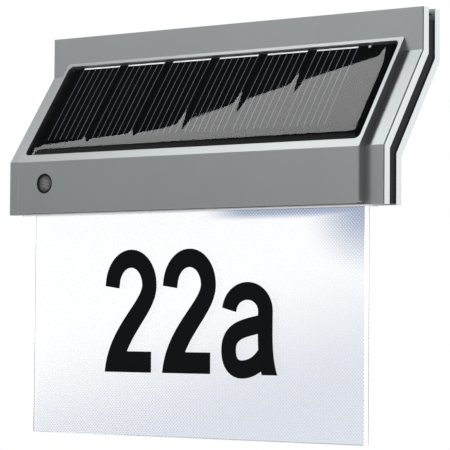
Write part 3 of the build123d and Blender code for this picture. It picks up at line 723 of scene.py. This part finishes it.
# towards its edges the sheet melts into the white backdrop
from_middle = measure(nodes, links, "DISTANCE", own_place(nodes), (0.0, 0.0, floor_height))
far_white = nodes.new("ShaderNodeEmission")
melt = nodes.new("ShaderNodeMixShader")
links.new(ramp(nodes, links, from_middle, *floor_fade), melt.inputs["Fac"])
links.new(shader.outputs["BSDF"], melt.inputs[1])
links.new(far_white.outputs["Emission"], melt.inputs[2])
links.new(melt.outputs["Shader"], nodes["Material Output"].inputs["Surface"])
floor_side = np.array([-floor_half, floor_half])
floor_x, floor_y = np.meshgrid(floor_side, floor_side)
floor_points = np.stack([floor_x, floor_y, np.full_like(floor_x, floor_height)], axis=-1)
floor_mesh = bpy.data.meshes.new("floor")
floor_mesh.from_pydata(floor_points.reshape(-1, 3).tolist(), [], grid_faces(2, 2).tolist())
floor_mesh.materials.append(pale_floor)
floor = bpy.data.objects.new("floor", floor_mesh)
bpy.context.scene.collection.objects.link(floor)

# Studio light: soft light from all round, a white backdrop behind the object, and a dimmer room in front,
# brightest a little above the horizon and dark overhead. A large soft lamp hangs in front at the upper left,
# and a smaller one stands behind at the right.
backdrop_white = (1.0, 1.0, 1.0, 1.0)
soft_light = (0.85, 0.85, 0.85, 1.0)
backdrop_near = (-0.35, 0.0)
backdrop_top = (0.40, 0.25)
backdrop_far = (0.3, 0.6)
room_heights = (-0.4, -0.12, 0.03, 0.18, 0.36, 0.58)
room_height_levels = (0.50, 0.34, 0.20, 1.05, 0.60, 0.03)
room_sides = (-0.8, -0.5, 0.05, 0.4)
room_side_levels = (0.50, 1.10, 1.0, 0.25)
lamp_right_end = Vector((-0.541, -0.102, 1.021))
lamp_edge_along = Vector((0.712, 0.541, 0.447)).normalized()
lamp_length = 1.25
lamp_depth = 0.30
lamp_radiance = 3.3
rim_lamp_place = Vector((0.75, 1.0, 0.16))
rim_lamp_size = 0.7
rim_lamp_radiance = 0.85


def level_along(nodes, links, source, places, levels):
    """A grey socket that takes given levels at given places along one axis of a direction, from -1 to 1."""
    scale = nodes.new("ShaderNodeValToRGB")
    stops = scale.color_ramp.elements
    for stop in range(2, len(places)):
        stops.new(stop / len(places))
    for element, at, level in zip(stops, places, levels):
        element.position = (at + 1.0) / 2
        element.color = (level, level, level, 1.0)
    links.new(spread(nodes, links, source, 0.0, 1.0, start=-1.0), scale.inputs["Fac"])
    return scale.outputs["Color"]


def stand(place, x_axis, y_axis, z_axis):
    """A place and three axes as the matrix of an object that stands there."""
    return Matrix.Translation(place) @ Matrix((x_axis, y_axis, z_axis)).transposed().to_4x4()


def soft_area(name, width, depth, radiance, matrix):
    """A soft lamp with a flat face of even radiance: its power is the radiance times pi times its area."""
    face = bpy.data.lights.new(name, "AREA")
    face.shape = "RECTANGLE"
    face.size = width
    face.size_y = depth
    face.energy = radiance * pi * width * depth
    lamp_object = bpy.data.objects.new(name, face)
    lamp_object.matrix_world = matrix
    bpy.context.scene.collection.objects.link(lamp_object)


world = bpy.data.worlds.new("studio")
bpy.context.scene.world = world
world.use_nodes = True
nodes = world.node_tree.nodes
links = world.node_tree.links
background = nodes["Background"]
direction = split(nodes, links, nodes.new("ShaderNodeTexCoord").outputs["Generated"])
room = sum_up(nodes, links, "MULTIPLY",
              level_along(nodes, links, direction["Z"], room_heights, room_height_levels),
              level_along(nodes, links, direction["X"], room_sides, room_side_levels))
# the camera and light through clear pieces see white all round; what is mirrored sees it behind the object,
# low down from the sides on and higher up only far back; matt surfaces get the soft light from all sides
ray = nodes.new("ShaderNodeLightPath").outputs
behind = sum_up(nodes, links, "MULTIPLY", ramp(nodes, links, direction["Y"], *backdrop_near),
                ramp(nodes, links, direction["Z"], *backdrop_top))
behind = sum_up(nodes, links, "MAXIMUM", behind, ramp(nodes, links, direction["Y"], *backdrop_far))
mirrored = sum_up(nodes, links, "MULTIPLY", ray["Is Glossy Ray"], behind)
seen = sum_up(nodes, links, "MAXIMUM", ray["Is Camera Ray"], ray["Is Transmission Ray"])
seen = sum_up(nodes, links, "MAXIMUM", seen, mirrored)
sky = tint(nodes, links, seen, room, backdrop_white)
links.new(tint(nodes, links, ray["Is Diffuse Ray"], sky, soft_light), background.inputs["Color"])
background.inputs["Strength"].default_value = 1.0

# the lamp's rear edge lies in the directions that the resin mirrors, and the lamp reaches forwards from it
lamp_edge_middle = lamp_right_end - lamp_edge_along * lamp_length / 2
lamp_forward = lamp_edge_along.cross(lamp_edge_middle).normalized()
lamp_place = lamp_edge_middle + lamp_forward * lamp_depth / 2
lamp_axis = lamp_forward.cross(lamp_edge_along).normalized()
soft_area("soft_lamp", lamp_length, lamp_depth, lamp_radiance,
          stand(lamp_place, lamp_edge_along, lamp_axis.cross(lamp_edge_along), lamp_axis))
# the end faces mirror the smaller lamp, which looks at the frame's origin
rim_lamp_turn = (-rim_lamp_place).to_track_quat("-Z", "Y").to_matrix().to_4x4()
soft_area("rim_lamp", rim_lamp_size, rim_lamp_size, rim_lamp_radiance,
          Matrix.Translation(rim_lamp_place) @ rim_lamp_turn)

# Camera: a long lens from the right, a little below the object's middle, as the photograph was taken.
# Its place, turn and focal length put the object's corners where the photograph has them.
camera_place = (0.5841, -0.8039, -0.1192)
camera_azimuth = radians(36.479)
camera_elevation = radians(-2.602)
camera_roll = radians(-0.422)
camera_focal_pixels = 2259.0
camera_sensor_width = 36.0
picture_width = 450.0

camera_data = bpy.data.cameras.new("camera")
camera_data.sensor_width = camera_sensor_width
camera_data.lens = camera_focal_pixels / picture_width * camera_sensor_width
camera = bpy.data.objects.new("camera", camera_data)
bpy.context.scene.collection.objects.link(camera)
back = Vector((sin(camera_azimuth) * cos(camera_elevation), -cos(camera_azimuth) * cos(camera_elevation),
               sin(camera_elevation)))
right = Vector((cos(camera_azimuth), sin(camera_azimuth), 0.0))
down = (-back).cross(right)
right_rolled = cos(camera_roll) * right + sin(camera_roll) * down
down_rolled = cos(camera_roll) * down - sin(camera_roll) * right
camera.matrix_world = stand(camera_place, right_rolled, -down_rolled, back)
bpy.context.scene.camera = camera
bpy.context.scene.view_settings.view_transform = "Standard"
